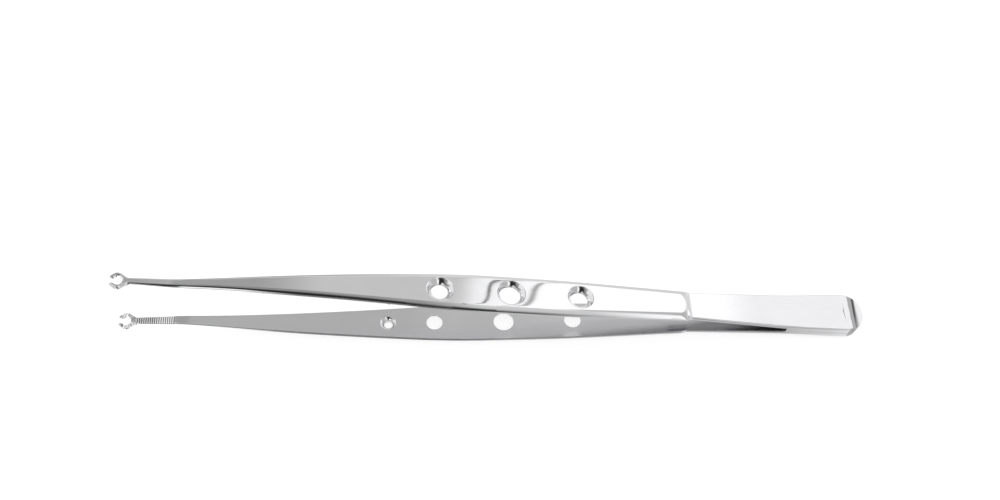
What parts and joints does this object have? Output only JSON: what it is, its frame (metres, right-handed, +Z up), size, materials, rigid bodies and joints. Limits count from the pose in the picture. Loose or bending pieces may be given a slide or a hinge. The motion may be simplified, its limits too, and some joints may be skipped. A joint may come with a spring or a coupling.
{
  "type": "tissue forceps",
  "caption": "Open spring-handled tissue forceps with ring tips, toothed jaws, countersunk grip holes, a guide pin and a welded heel.",
  "frame": {"origin": "middle of the bounding box in plan, on the table that the lower arm's bow and the heel's end touch", "axes": "+X from the tips towards the heel, +Y across the width, +Z up from the table; the arms lie one above the other, open"},
  "size_m": [0.1802, 0.01, 0.0234],
  "materials": {
    "polished_steel": "polished outside, satin inside",
    "ground_steel": "ground and brushed",
    "pin_steel": "turned and polished"
  },
  "bodies": {
    "heel": {"upper_heel": "polished_steel", "lower_heel": "polished_steel", "heel_weld": "ground_steel"},
    "upper_side": {"upper_arm": "polished_steel", "guide_pin": "pin_steel"},
    "lower_side": {"lower_arm": "polished_steel"}
  },
  "joints": [
    {"name": "upper_arm_squeeze", "type": "hinge", "parent": "heel", "child": "upper_side", "pos_m": [0.05822, 0, 0.00535], "axis": [0, -1, 0], "range_deg": [0, 3.36], "stiffness_Nm_per_rad": 4},
    {"name": "lower_arm_squeeze", "type": "hinge", "parent": "heel", "child": "lower_side", "pos_m": [0.05802, 0, 0.00231], "axis": [0, 1, 0], "range_deg": [0, 3.36], "stiffness_Nm_per_rad": 4}
  ]
}
